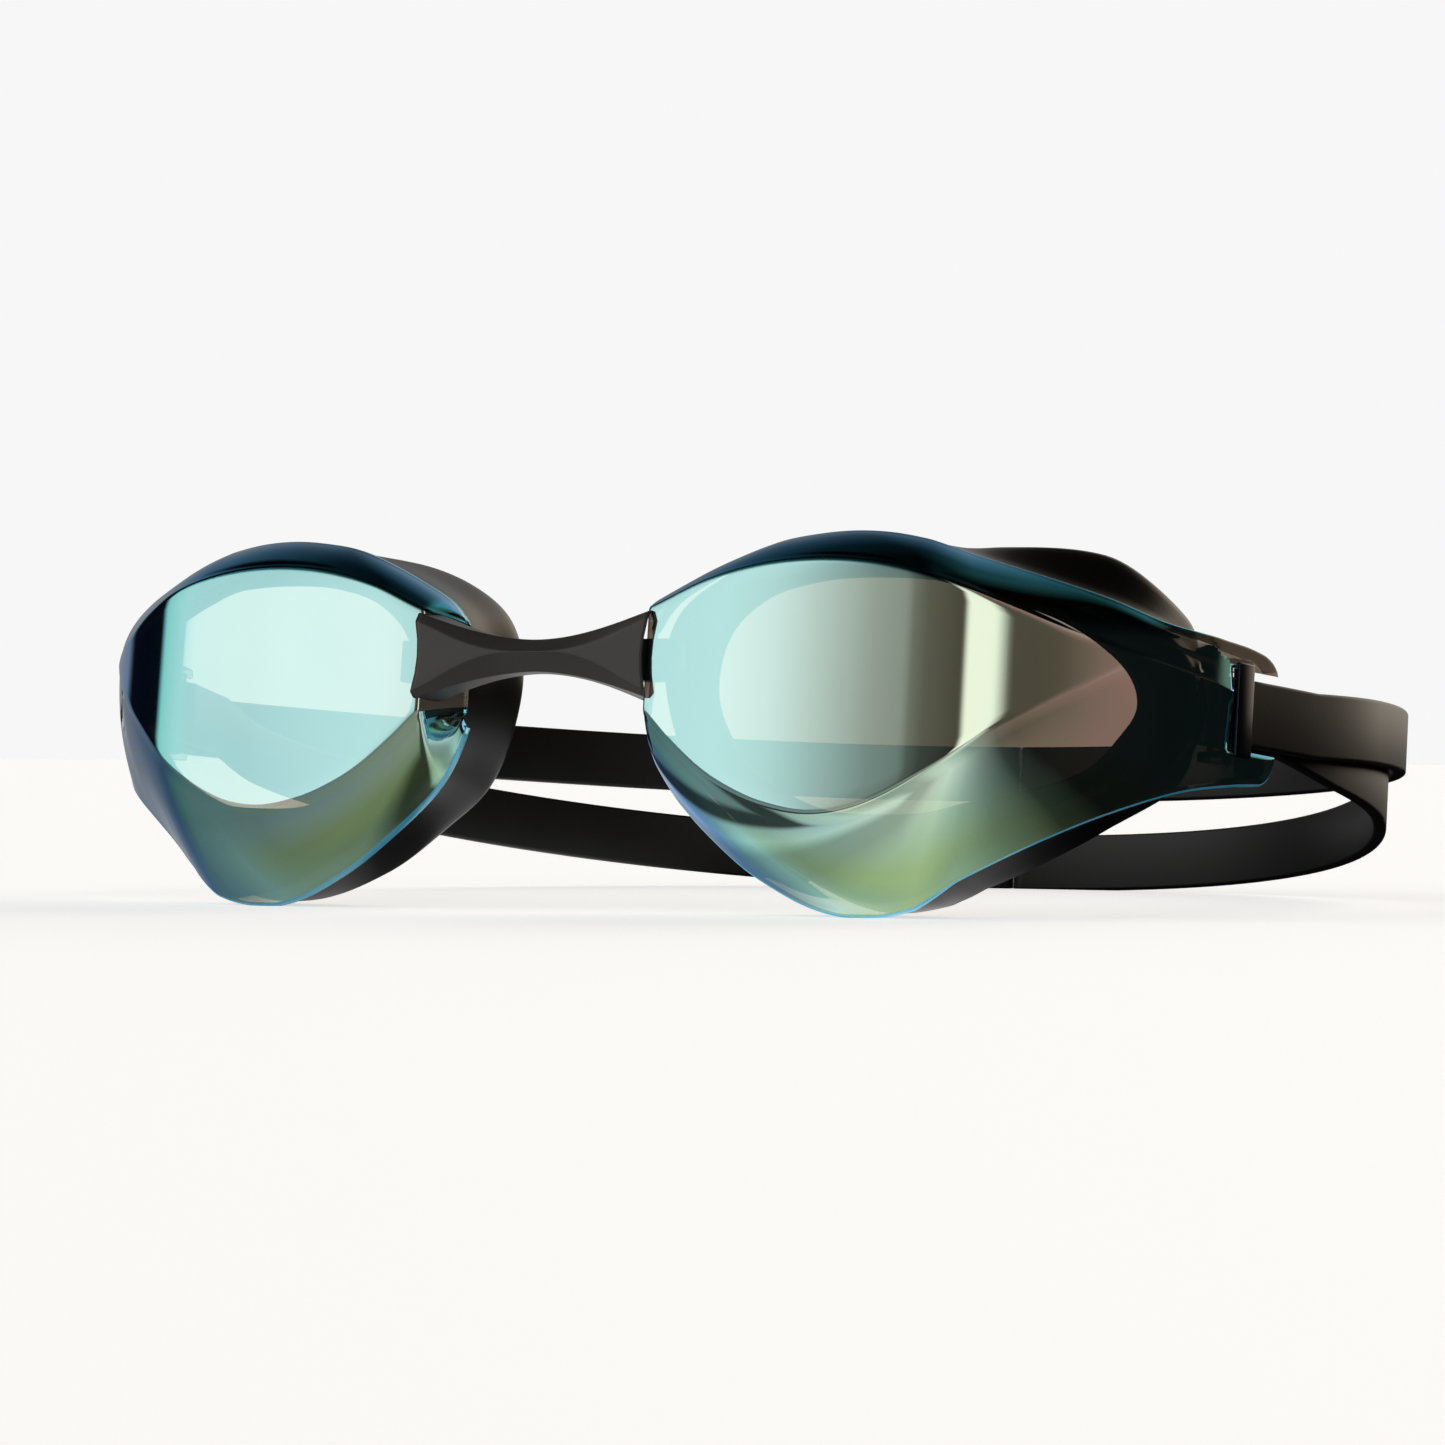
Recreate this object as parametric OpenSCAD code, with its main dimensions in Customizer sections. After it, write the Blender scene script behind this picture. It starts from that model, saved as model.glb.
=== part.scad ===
// Racing swim goggles: two wrapped lenses with eye seals, a soft nose bridge
// and a split silicone strap made of two halves that meet at the back.
// Lengths are millimetres. The goggles stand on the two lens rims and on the
// strap's lower band, so the whole assembly leans back by a few degrees.

/* [Lens] */
// Distance from the middle of the bridge to the inner end of a front face
nose_x = 12.3; // [10:0.1:15]
// Distance from the front face back to the upper rim
bevel_top = 4.5; // [3:0.1:6]
// Distance from the front face back to the lower rim
bevel_low = 6; // [5:0.1:7]
// Wall thickness of the lens
lens_wall = 1.8; // [1.4:0.1:2.4]
// Thickness of the rim's edge, front to back
rim_edge = 0.9; // [0.6:0.1:1.4]

/* [Seal] */
// Depth of the eye seal at the nose
seal_nose_depth = 9.6; // [8:0.1:11]
// Depth of the eye seal beside the temple
seal_temple_depth = 6; // [4:0.1:7]
// Thickness of the seal's flange behind the rim
flange_t = 1.1; // [0.9:0.1:1.5]
// How far the seal's lip flares outward beside the nose
seal_flare = 1.4; // [0.5:0.1:2]
// How far the seal's lip flares outward above and below the temple
seal_temple_flare = 4.2; // [3:0.1:4.5]

/* [Nose bridge] */
// Height of the bridge at its ends
bridge_end_h = 8.3; // [7:0.1:9]
// Height of the bridge at its waist
bridge_waist_h = 3.1; // [3:0.1:5]
// Front to back size of the bridge
bridge_depth = 3.4; // [3:0.1:3.8]
// Height of the tongue that plugs into a lens
tongue_h = 4; // [3:0.1:4.6]
// Front to back size of the tongue
tongue_t = 1.6; // [1.4:0.1:1.8]
// Length of the tongue
tongue_l = 3; // [2:0.1:3.4]

/* [Arm] */
// Length along the lens from the nose to the tips of the arm
arm_end = 68.3; // [67:0.1:71]
// Thickness of the arm
arm_t = 2.2; // [1.8:0.1:2.6]
// Width of the arm's front bar
front_bar_w = 2.4; // [1.6:0.1:2.6]
// Thickness of the arm's front bar
front_bar_t = 0.8; // [0.6:0.1:1]
// Radius of the pin that holds the strap, behind the front bar
pin_r = 0.9; // [0.7:0.05:1]

/* [Strap] */
// Width of a band
band_h = 6.3; // [5.8:0.1:6.6]
// Thickness of a band
band_t = 1.3; // [1:0.05:1.3]
// Inner radius of the strap's plan circle
strap_r = 65.6; // [65:0.1:68]
// Distance from the face back to the centre of that circle
strap_y = 45.8; // [44:0.1:47]
// Height that the upper band gains towards the back
upper_rise = 3.8; // [1:0.1:6]
// Height that the lower band loses towards the back
lower_drop = 5.8; // [4:0.1:7]
// Gap between the two strap halves at the back
seam_gap = 0.6; // [0.5:0.1:1]
// Running clearance between a strap loop and its pin
loop_gap = 0.07; // [0.03:0.01:0.1]

/* [Hidden] */
$fn = 64;

// Plan curve of the front face: arcs as [heading at start, heading at end, radius]
face_arcs = [[-3, 6, 170], [6, 28, 16], [28, 74, 34]];
arm_heading = 74;
arm_start = 60;
window_start = 61.1;
window_z = [0.8, 8.5];
pin_s = 63.3;
pin_d = 3.5;
ear_t = 1;
strap_z = 4.7;
lower_start = 0.6;
tongue_y = 1;
tongue_z = 6.3;
fit_gap = 0.1;
body_gap = 0.3;
foot = 0.15;
seal_gap = 0.13;
edge_d = 0.5;
nose_start = -2.6;
shell_inset = 0.75;
front_proud = 1.1;
far = 300;

// Places along the face where a depth starts and stops changing
top_fade = [30, 60];
low_fade = [36, 64];
nose_fade = [24, 4];
arm_fade = [50, 60];
nose_flare_fade = [2, 26];
temple_flare_fade = [20, 46];
flare_end_fade = [44, 57];
seal_depth_fade = [10, 50];
seal_end_fade = [59.8, 53];
seal_turn_fade = [20, 60];
// Heights between which the seal passes from the lower rim to the upper rim
seal_rise = [-6, 10];
// Distances from the strap's height over which the temple flare grows
flare_rise = [2.2, 6.2];
lower_flare_share = 0.35;
seal_end_depth = 1.7;
seal_turn_max = 12;

// Outlines along the face as [distance from the nose end, height]
upper_ridge = [[-3, 10.4], [0, 11.2], [6, 13.7], [12, 15.1], [18, 15.5], [24, 15], [30, 13.6],
               [36, 11.6], [43, 9.3], [50, 7.9], [62, 6.2], [72, 5]];
lower_ridge = [[-3, 2.6], [0, 1.2], [2.6, -1.2], [6, -4], [9, -5.8], [13, -7.4], [18, -8.2],
               [23, -7.3], [29, -4.2], [36, 0.6], [43, 4.6], [50, 7.7], [62, 6], [72, 4.8]];
upper_rim = [[-3, 9], [-1.6, 11.2], [0, 12.8], [3, 14.5], [7, 16.4], [11, 17.9], [15, 18.6],
             [19, 18.9], [23, 18.7], [27, 18], [32, 16.9], [40, 15.1], [47, 13.4], [53, 11.7],
             [60, 11], [64, 10.7], [67, 10], [68.3, 9]];
lower_rim = [[-3, 1.6], [-1.6, -2.4], [0, -5.2], [2, -7.4], [5.5, -10.4], [9, -13], [12, -14.7],
             [15, -16.1], [18, -17], [21, -17.3], [25, -16.8], [29, -15.4], [35, -12.6],
             [42, -9.4], [49, -6.4], [56, -3.9], [62, -2.7], [66, -2.2], [68.3, -1]];
// Eye seal outline as a closed run of [distance from the nose end, height]
seal_outline = [[-1.7, 5.4], [-0.6, 11], [4, 14.6], [11, 17.2], [19, 18.3], [28, 17.4], [38, 15.4],
                [48, 13], [56, 9.8], [59.4, 4.4], [55.5, -1.6], [46, -6.6], [37, -11],
                [29, -14.2], [21, -15.6], [12.5, -12.2], [6, -7.4], [1, -2.6]];

// Eye opening in the seal's flange, point by point beside the outline
eye_opening = [[4, 4.5], [5.2, 9.5], [9, 12.8], [14, 14.3], [19, 14.8], [26, 14.6], [34, 13.4],
               [43, 11], [49, 7.6], [51.3, 4], [50, 0.8], [46.5, -2.6], [39.5, -4.9],
               [30, -7], [23, -7.7], [16, -7.2], [9.5, -4.2], [5.5, 0]];

function lerp(a, b, t) = a + (b - a) * t;
function ease(t) = let (u = min(max(t, 0), 1)) u * u * (3 - 2 * u);
function unlerp(a, b, v) = (v - a) / (b - a);
function fade(range, v) = ease(unlerp(range[0], range[1], v));

// Smooth curve through [place, value] points
function slope(p, i) = i == 0 ? (p[1][1] - p[0][1]) / (p[1][0] - p[0][0])
    : i == len(p) - 1 ? (p[i][1] - p[i - 1][1]) / (p[i][0] - p[i - 1][0])
    : (p[i + 1][1] - p[i - 1][1]) / (p[i + 1][0] - p[i - 1][0]);
function span(p, s, i = 0) = i >= len(p) - 2 || s < p[i + 1][0] ? i : span(p, s, i + 1);
function curve(p, s) =
    let (i = span(p, s), w = p[i + 1][0] - p[i][0], t = (s - p[i][0]) / w,
         a = p[i][1], b = p[i + 1][1], ma = slope(p, i) * w, mb = slope(p, i + 1) * w)
    a * (2 * t^3 - 3 * t^2 + 1) + ma * (t^3 - 2 * t^2 + t)
    + b * (3 * t^2 - 2 * t^3) + mb * (t^3 - t^2);
// Closed smooth curve through points, at t from 0 to the number of points
function closed_curve(p, t) =
    let (n = len(p), i = floor(t), u = t - i, a = p[(i + n - 1) % n], b = p[i % n],
         c = p[(i + 1) % n], d = p[(i + 2) % n])
    (2 * b + (c - a) * u + (2 * a - 5 * b + 4 * c - d) * u^2 + (3 * b - 3 * c + d - a) * u^3) / 2;

// Place on the plan curve as [x, y, heading]
function arc_length(a) = a[2] * (a[1] - a[0]) * PI / 180;
function arc_step(a, h) = a[2] * [sin(h) - sin(a[0]), cos(a[0]) - cos(h)];
function path_at(s, i = 0, at = [nose_x, 0]) =
    i == len(face_arcs) ? [at[0] + s * cos(arm_heading), at[1] + s * sin(arm_heading), arm_heading]
    : let (a = face_arcs[i], h = a[0] + s / a[2] * 180 / PI)
      s <= arc_length(a) ? [at[0] + arc_step(a, h)[0], at[1] + arc_step(a, h)[1], h]
      : path_at(s - arc_length(a), i + 1, at + arc_step(a, a[1]));
// Point at distance s along the curve, d behind the face, at height z
function face_point(s, d, z) =
    let (p = path_at(s)) [p[0] - d * sin(p[2]), p[1] + d * cos(p[2]), z];

// Strap pin, seen from the centre of the strap's plan circle
pin = face_point(pin_s, pin_d, strap_z);
strap_centre = [0, strap_y];
pin_heading = atan2(pin[0], strap_y - pin[1]);
pin_radius = norm([pin[0], pin[1] - strap_y]);
loop_in = pin_r + loop_gap;
knuckle_r = band_h / 2 + 0.05;
knuckle_y = pin[1] + 11;
back_y = strap_y + strap_r + band_t;

// The goggles lean back until the lower band meets the floor
rim_low = [path_at(21)[1] + bevel_low + rim_edge, curve(lower_rim, 21)];
band_low = [strap_y + strap_r, strap_z - lower_start - lower_drop - band_h / 2];
lean = atan((band_low[1] - rim_low[1]) / (band_low[0] - rim_low[0]));
floor_z = rim_low[1] * cos(lean) - rim_low[0] * sin(lean) + foot;
front_y = -front_proud;
top_back_z = strap_z + upper_rise + band_h / 2;
mid_y = (front_y + back_y * cos(lean) + top_back_z * sin(lean)) / 2;

module stand() translate([0, -mid_y, -floor_z]) rotate([-lean, 0, 0]) children();
module left() mirror([1, 0, 0]) children();
// Small flats where a rim or a band rests on the floor
module rest() intersection() {
    stand() children();
    translate([-far / 2, -far / 2, 0]) cube(far);
}

module loft(rings) {
    n = len(rings[0]);
    m = len(rings);
    polyhedron([for (r = rings) each r],
        [[for (i = [0:n - 1]) i], [for (i = [n - 1:-1:0]) (m - 1) * n + i],
         for (k = [0:m - 2], i = [0:n - 1]) let (j = (i + 1) % n)
             each [[k * n + j, k * n + i, (k + 1) * n + i], [k * n + j, (k + 1) * n + i, (k + 1) * n + j]]]);
}

module closed_loft(rings) {
    n = len(rings[0]);
    m = len(rings);
    polyhedron([for (r = rings) each r],
        [for (k = [0:m - 1], i = [0:n - 1]) let (j = (i + 1) % n, q = (k + 1) % m)
             each [[k * n + j, k * n + i, q * n + i], [k * n + j, q * n + i, q * n + j]]]);
}

// Depths of the front face, the upper rim and the lower rim behind the plan curve
function front_d(s) = s < 0 ? -s * 2 : 0;
function top_d(s) = lerp(bevel_top + 0.4, edge_d, fade(top_fade, s));
function low_d(s) = lerp(bevel_low - 0.8 * fade(nose_fade, s), edge_d, fade(low_fade, s));
function back_d(s) = lerp(rim_edge, arm_t - edge_d, fade(arm_fade, s));

function lens_section(s) =
    let (a = curve(upper_ridge, s), b = min(curve(lower_ridge, s), a - 0.1),
         tops = [top_d(s), curve(upper_rim, s)], lows = [low_d(s), curve(lower_rim, s)])
    [face_point(s, tops[0] + back_d(s), tops[1]), face_point(s, tops[0], tops[1]),
     face_point(s, front_d(s), a), face_point(s, front_d(s), b),
     face_point(s, lows[0], lows[1]), face_point(s, lows[0] + back_d(s), lows[1])];

function cavity_section(s) =
    let (a = curve(upper_ridge, s), b = min(curve(lower_ridge, s), a - 0.1), in = lens_wall * shell_inset,
         mid = (a + b) / 2, half = max((a - b) / 2 - 0.6, 0.15),
         tops = [top_d(s), curve(upper_rim, s) - in], lows = [low_d(s), curve(lower_rim, s) + in])
    [face_point(s, tops[0] + 3, tops[1]), face_point(s, tops[0] + 0.5, tops[1]),
     face_point(s, lens_wall, mid + half), face_point(s, lens_wall, mid - half),
     face_point(s, lows[0] + 0.5, lows[1]), face_point(s, lows[0] + 3, lows[1])];

// Frame on the arm: +X towards the tips, +Y behind the arm
module arm_frame() {
    at = path_at(arm_start);
    translate([at[0], at[1], 0]) rotate(arm_heading) children();
}

module arm_window() arm_frame() translate([window_start - arm_start, -1, window_z[0]])
    cube([arm_end, arm_t + 3, window_z[1] - window_z[0]]);

module front_bar() arm_frame() translate([pin_s - arm_start - front_bar_w / 2 - 0.2, 0, window_z[0] - 0.5])
    cube([front_bar_w, front_bar_t, window_z[1] - window_z[0] + 1]);

// Ears behind the arm, above and below the strap, and the pin between them
module strap_pin() {
    for (z = [window_z[0] - ear_t, window_z[1]])
        arm_frame() translate([pin_s - arm_start, 0.6, z]) linear_extrude(ear_t) hull() {
            translate([-pin_r - 0.6, 0]) square([2 * pin_r + 1.2, 0.5]);
            translate([0, pin_d - 0.6]) circle(pin_r + 0.5, $fn = 32);
        }
    translate([pin[0], pin[1], window_z[0] - 0.4])
        cylinder(r = pin_r, h = window_z[1] - window_z[0] + 0.8);
}

module nose_socket() translate([nose_x - 6, tongue_y - fit_gap, tongue_z - tongue_h / 2 - fit_gap])
    cube([6 + tongue_l + 0.4, tongue_t + 2 * fit_gap, tongue_h + 2 * fit_gap]);

module lens() {
    difference() {
        loft([for (s = [nose_start, -2, -1.2, -0.5, each [0:1:arm_end]]) lens_section(s)]);
        loft([for (s = [4.4:1:57.4]) cavity_section(s)]);
        arm_window();
        nose_socket();
    }
    front_bar();
    strap_pin();
}

// Seal section as [outward, behind the rim, share of the way to the eye opening] points
function seal_profile(depth, f) =
    [[-0.3, 0, 0], [0.2, 0.9, 0], [0.6, depth * 0.5, 0], [f, depth - 0.5, 0], [f - 0.5, depth, 0],
     [f - 1.5, depth - 0.5, 0], [-1, depth * 0.55, 0], [-1.6, flange_t + 0.4, 0],
     [0, flange_t, 1], [0, 0, 1]];

function seal_start(s, upper) = lerp(low_d(s), top_d(s), upper) + back_d(s) + seal_gap;
function seal_flare_at(p) = seal_flare * (1 - fade(nose_flare_fade, p[0]))
    + seal_temple_flare * fade(temple_flare_fade, p[0]) * fade(flare_rise, abs(p[1] - strap_z))
    * lerp(lower_flare_share, 1, fade(seal_rise, p[1])) * (1 - 0.5 * fade(flare_end_fade, p[0]));
function seal_depth(s) =
    lerp(seal_end_depth, lerp(seal_nose_depth, seal_temple_depth, fade(seal_depth_fade, s)),
         fade(seal_end_fade, s));
function seal_ring(t) =
    let (p = closed_curve(seal_outline, t), q = closed_curve(seal_outline, t + 0.02),
         e = closed_curve(eye_opening, t), run = (q - p) / norm(q - p), out = [-run[1], run[0]],
         turn = seal_turn_max * fade(seal_turn_fade, p[0]), upper = fade(seal_rise, p[1]),
         depth = seal_depth(p[0]) * (1 - 0.1 * upper))
    [for (v = seal_profile(depth, seal_flare_at(p)))
        let (o = lerp(p + out * v[0], e, v[2]))
        face_point(o[0], seal_start(o[0], upper), o[1]) + v[1] * [-sin(turn), cos(turn), 0]];

module seal() closed_loft([for (t = [0:0.25:len(seal_outline) - 0.2]) seal_ring(t)]);

// Bridge section at a fraction u of its half length; the ends slant to follow the lenses
bridge_mid = 6.65;
bridge_front = -0.9;
bridge_slant = 0.13;
function bridge_section(u) =
    let (h = lerp(bridge_waist_h, bridge_end_h, abs(u)^1.8) / 2, k = 0.7 + 0.2 * h,
         b = bridge_front, e = b + bridge_depth, c = bridge_mid)
    [for (v = [[b + k, c + h], [b, c + h * 0.1], [b + k * 0.8, c - h], [e - 0.4, c - h],
               [e, c - h + 0.5], [e, c + h - 0.5], [e - 0.4, c + h]])
        [u * (nose_x + 0.1) * (1 - bridge_slant * (v[0] - b) / bridge_depth), v[0], v[1]]];

module nose_bridge() {
    loft([for (u = [-1:1/12:1.001]) bridge_section(u)]);
    for (side = [0, 1]) mirror([side, 0, 0])
        translate([nose_x - 3, tongue_y, tongue_z - tongue_h / 2]) cube([3 + tongue_l, tongue_t, tongue_h]);
}

// Point on the strap's plan circle at heading h, radius r and height z
function strap_point(h, r, z) =
    [strap_centre[0] + r * sin(h), strap_centre[1] - r * cos(h), z];
// Height and inner radius of each band at heading h; w runs from 0 at the knuckle to 1 at the seam
knuckle_heading = 83.4;
seam_heading = 180 - asin(seam_gap / 2 / strap_r);
function along(h) = max(0, unlerp(knuckle_heading, seam_heading, h));
function upper_height(h) = strap_z + upper_rise * (1 - (1 - along(h))^2.5);
function lower_height(h) = strap_z - lower_start * ease(unlerp(knuckle_heading - 1, 93, h))
    - lower_drop * (1 - (1 - along(h))^2.2);
function upper_radius(h) = lerp(pin_radius + loop_in, strap_r - 0.3, ease(unlerp(pin_heading, 94, h)))
    + 0.3 * along(h);
function lower_radius(h) = lerp(pin_radius - loop_in - band_t, strap_r - 2, ease(unlerp(pin_heading, 106, h)))
    + 1.6 * ease(unlerp(100, 180, h));
function band_section(h, r, z) =
    [strap_point(h, r, z - band_h / 2), strap_point(h, r, z + band_h / 2),
     strap_point(h, r + band_t, z + band_h / 2), strap_point(h, r + band_t, z - band_h / 2)];
band_steps = 56;
leg_steps = 10;
loop_steps = 24;

module upper_run(from, to, steps) loft([for (i = [0:steps]) let (h = lerp(from, to, i / steps))
    band_section(h, upper_radius(h), upper_height(h))]);
module lower_run(from, to, steps) loft([for (i = [0:steps]) let (h = lerp(from, to, i / steps))
    band_section(h, lower_radius(h), lower_height(h))]);

module knuckle(r) translate([0, knuckle_y, strap_z]) rotate([0, 90, 0]) cylinder(r = r, h = 90);

module upper_band() difference() {
    upper_run(knuckle_heading, seam_heading, band_steps);
    knuckle(knuckle_r + body_gap);
}

module lower_band() difference() {
    lower_run(knuckle_heading, seam_heading, band_steps);
    knuckle(knuckle_r + body_gap);
}

// Section of the loop round the pin, at a turn from 0 on the outer leg to 180 on the inner one
function loop_section(turn) =
    let (d = [sin(pin_heading - turn), -cos(pin_heading - turn)],
         out = [pin[0], pin[1]] + (loop_in + band_t) * d, in = [pin[0], pin[1]] + loop_in * d,
         low = strap_z - band_h / 2, top = strap_z + band_h / 2)
    [[out[0], out[1], low], [out[0], out[1], top], [in[0], in[1], top], [in[0], in[1], low]];
function flipped(r) = [r[3], r[2], r[1], r[0]];

// Strap end that turns round the pin; each leg ends in a round that a band turns on
module strap_loop() intersection() {
    loft([
        for (i = [leg_steps:-1:0]) let (h = lerp(pin_heading, knuckle_heading + 4, i / leg_steps))
            flipped(band_section(h, upper_radius(h), upper_height(h))),
        for (i = [1:loop_steps - 1]) loop_section(180 * i / loop_steps),
        for (i = [0:leg_steps]) let (h = lerp(pin_heading, knuckle_heading + 4, i / leg_steps))
            band_section(h, lower_radius(h), lower_height(h))
    ]);
    union() {
        translate([0, 0, strap_z - band_h]) cube([90, knuckle_y, 2 * band_h]);
        knuckle(knuckle_r);
    }
}

smoke = "#3a5a58";
silicone = "#161616";

color(smoke) rest() left() lens();  // lens_left
color(smoke) rest() lens();  // lens_right
stand() left() color(silicone) seal();  // seal_left
stand() color(silicone) seal();  // seal_right
stand() color("#2b2724") nose_bridge();
stand() left() color(silicone) strap_loop();  // strap_loop_left
stand() color(silicone) strap_loop();  // strap_loop_right
stand() left() color(silicone) upper_band();  // upper_band_left
stand() color(silicone) upper_band();  // upper_band_right
color(silicone) rest() left() lower_band();  // lower_band_left
color(silicone) rest() lower_band();  // lower_band_right
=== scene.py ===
import math

import bmesh
import bpy
from mathutils import Matrix, Vector


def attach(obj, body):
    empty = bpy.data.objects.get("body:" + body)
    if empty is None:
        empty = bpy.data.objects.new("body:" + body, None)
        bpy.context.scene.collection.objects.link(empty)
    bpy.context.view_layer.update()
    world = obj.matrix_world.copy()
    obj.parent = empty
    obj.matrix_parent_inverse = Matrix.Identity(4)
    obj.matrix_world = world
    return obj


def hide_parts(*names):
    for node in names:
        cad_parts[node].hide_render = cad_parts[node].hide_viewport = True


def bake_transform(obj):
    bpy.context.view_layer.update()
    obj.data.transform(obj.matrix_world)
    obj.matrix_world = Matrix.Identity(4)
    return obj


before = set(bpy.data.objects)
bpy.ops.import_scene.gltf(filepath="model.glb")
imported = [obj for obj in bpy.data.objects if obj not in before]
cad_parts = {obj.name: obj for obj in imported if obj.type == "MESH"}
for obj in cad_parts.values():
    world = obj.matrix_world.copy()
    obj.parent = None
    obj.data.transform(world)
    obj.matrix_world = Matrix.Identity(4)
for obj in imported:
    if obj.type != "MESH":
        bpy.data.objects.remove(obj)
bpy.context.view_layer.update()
print("frame loaded:", len(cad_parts), "nodes")

# Lengths are millimetres in the goggles' own frame: x to the right as seen from the front, y back
# from the front face, z up from the eyes. placeMesh() turns a finished mesh into the row frame.


def mix(a, b, t):
    return a + (b - a) * t


def ease(t):
    u = min(max(t, 0), 1)
    return u * u * (3 - 2 * u)


def share(a, b, v):
    return (v - a) / (b - a)


def curveAt(points, s):
    n = len(points)
    i = 0
    while i < n - 2 and s >= points[i + 1][0]:
        i += 1

    def slope(k):
        a, b = points[max(k - 1, 0)], points[min(k + 1, n - 1)]
        return (b[1] - a[1]) / (b[0] - a[0])

    width = points[i + 1][0] - points[i][0]
    t = (s - points[i][0]) / width
    a, b = points[i][1], points[i + 1][1]
    return (a * (2 * t**3 - 3 * t**2 + 1) + slope(i) * width * (t**3 - 2 * t**2 + t)
            + b * (3 * t**2 - 2 * t**3) + slope(i + 1) * width * (t**3 - t**2))


def loopAt(points, t):
    n = len(points)
    i = math.floor(t)
    u = t - i
    a, b, c, d = (Vector(points[(i + k) % n]) for k in (-1, 0, 1, 2))
    return (2 * b + (c - a) * u + (2 * a - 5 * b + 4 * c - d) * u**2
            + (3 * b - 3 * c + d - a) * u**3) / 2


lens = {
    "noseX": 12.3,
    "faceArcs": [(-3, 6, 170), (6, 28, 16), (28, 74, 34)],  # heading at start, at end, radius
    "armHeading": 74,
    "armEnd": 68.3,
    "armThickness": 2.2,
    "bevelTop": 4.5,
    "bevelLow": 6,
    "rimEdge": 0.9,
    "wall": 1.35,
    "cornerTrim": [0, 0.22, 0.5, 0.5, 0.22, 0],
    "steps": [2, 14, 18, 14, 2],  # lines across rim, bevel, face, bevel, rim
    "bow": [0, -0.35, 0, -0.75, 0],  # how far each flat bows in
    "windowStart": 61.1,
    "windowZ": (0.8, 8.5),
    "tipStart": 66.1,
    "upperRidge": [(-3, 10.4), (0, 11.2), (6, 13.7), (12, 15.1), (18, 15.5), (24, 15), (30, 13.6),
                   (36, 11.6), (43, 9.3), (50, 7.9), (62, 6.2), (72, 5)],
    "lowerRidge": [(-3, 2.6), (0, 1.2), (2.6, -1.2), (6, -4), (9, -5.8), (13, -7.4), (18, -8.2),
                   (23, -7.3), (29, -4.2), (36, 0.6), (43, 4.6), (50, 7.7), (62, 6), (72, 4.8)],
    "upperRim": [(-3, 9), (-1.6, 11.2), (0, 12.8), (3, 14.5), (7, 16.4), (11, 17.9), (15, 18.6),
                 (19, 18.9), (23, 18.7), (27, 18), (32, 16.9), (40, 15.1), (47, 13.4), (53, 11.7),
                 (60, 11), (64, 10.7), (67, 10.2), (68.3, 10)],
    "lowerRim": [(-3, 1.6), (-1.6, -2.4), (0, -5.2), (2, -7.4), (5.5, -10.4), (9, -13), (12, -14.7),
                 (15, -16.1), (18, -17), (21, -17.3), (25, -16.8), (29, -15.4), (35, -12.6),
                 (42, -9.4), (49, -6.4), (56, -3.9), (62, -2.7), (66, -2.2), (68.3, -2)],
}
clasp = {"barS": 63.1, "barWidth": 2.4, "barThickness": 0.8, "pinS": 63.3, "pinD": 3.5,
         "pinRadius": 0.9, "earHeight": 1.0, "round": 0.18}


def planAt(s):
    x, y = lens["noseX"], 0.0
    for start, end, radius in lens["faceArcs"]:
        length = radius * math.radians(end - start)
        turn = start + math.degrees(min(s, length) / radius)
        x += radius * (math.sin(math.radians(turn)) - math.sin(math.radians(start)))
        y += radius * (math.cos(math.radians(start)) - math.cos(math.radians(turn)))
        if s <= length:
            return x, y, turn
        s -= length
    heading = math.radians(lens["armHeading"])
    return x + s * math.cos(heading), y + s * math.sin(heading), lens["armHeading"]


def facePoint(s, d, z):
    x, y, heading = planAt(s)
    h = math.radians(heading)
    return Vector((x - d * math.sin(h), y + d * math.cos(h), z))


def topDepth(s):
    return mix(lens["bevelTop"] + 0.4, 0.5, ease(share(30, 60, s)))


def lowDepth(s):
    return mix(lens["bevelLow"] - 0.8 * ease(share(24, 4, s)), 0.5, ease(share(36, 64, s)))


def rimDepth(s):
    return mix(lens["rimEdge"], lens["armThickness"] - 0.5, ease(share(50, 60, s)))


strap = {"bandHeight": 6.3, "bandThickness": 1.3, "radius": 65.6, "centreY": 45.8, "pinZ": 4.7,
         "upperRise": 3.8, "lowerDrop": 5.8, "lowerStart": 0.6, "seamGap": 0.6, "loopGap": 0.07,
         "kneeHeading": 83.4, "corner": 0.32, "along": 150}
pin = facePoint(clasp["pinS"], clasp["pinD"], strap["pinZ"])
pinHeading = math.degrees(math.atan2(pin.x, strap["centreY"] - pin.y))
pinRadius = math.hypot(pin.x, pin.y - strap["centreY"])
rimLow = (planAt(21)[1] + lens["bevelLow"] + lens["rimEdge"], curveAt(lens["lowerRim"], 21))
bandLow = (strap["centreY"] + strap["radius"],
           strap["pinZ"] - strap["lowerStart"] - strap["lowerDrop"] - strap["bandHeight"] / 2)
lean = math.atan((bandLow[1] - rimLow[1]) / (bandLow[0] - rimLow[0]))
floorZ = rimLow[1] * math.cos(lean) - rimLow[0] * math.sin(lean) + 0.15  # worn-flat feet
backY = strap["centreY"] + strap["radius"] + strap["bandThickness"]
topBackZ = strap["pinZ"] + strap["upperRise"] + strap["bandHeight"] / 2
middleY = (-1.1 + backY * math.cos(lean) + topBackZ * math.sin(lean)) / 2
standing = (Matrix.Scale(0.001, 4) @ Matrix.Translation((0, -middleY, -floorZ))
            @ Matrix.Rotation(-lean, 4, "X"))


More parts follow.
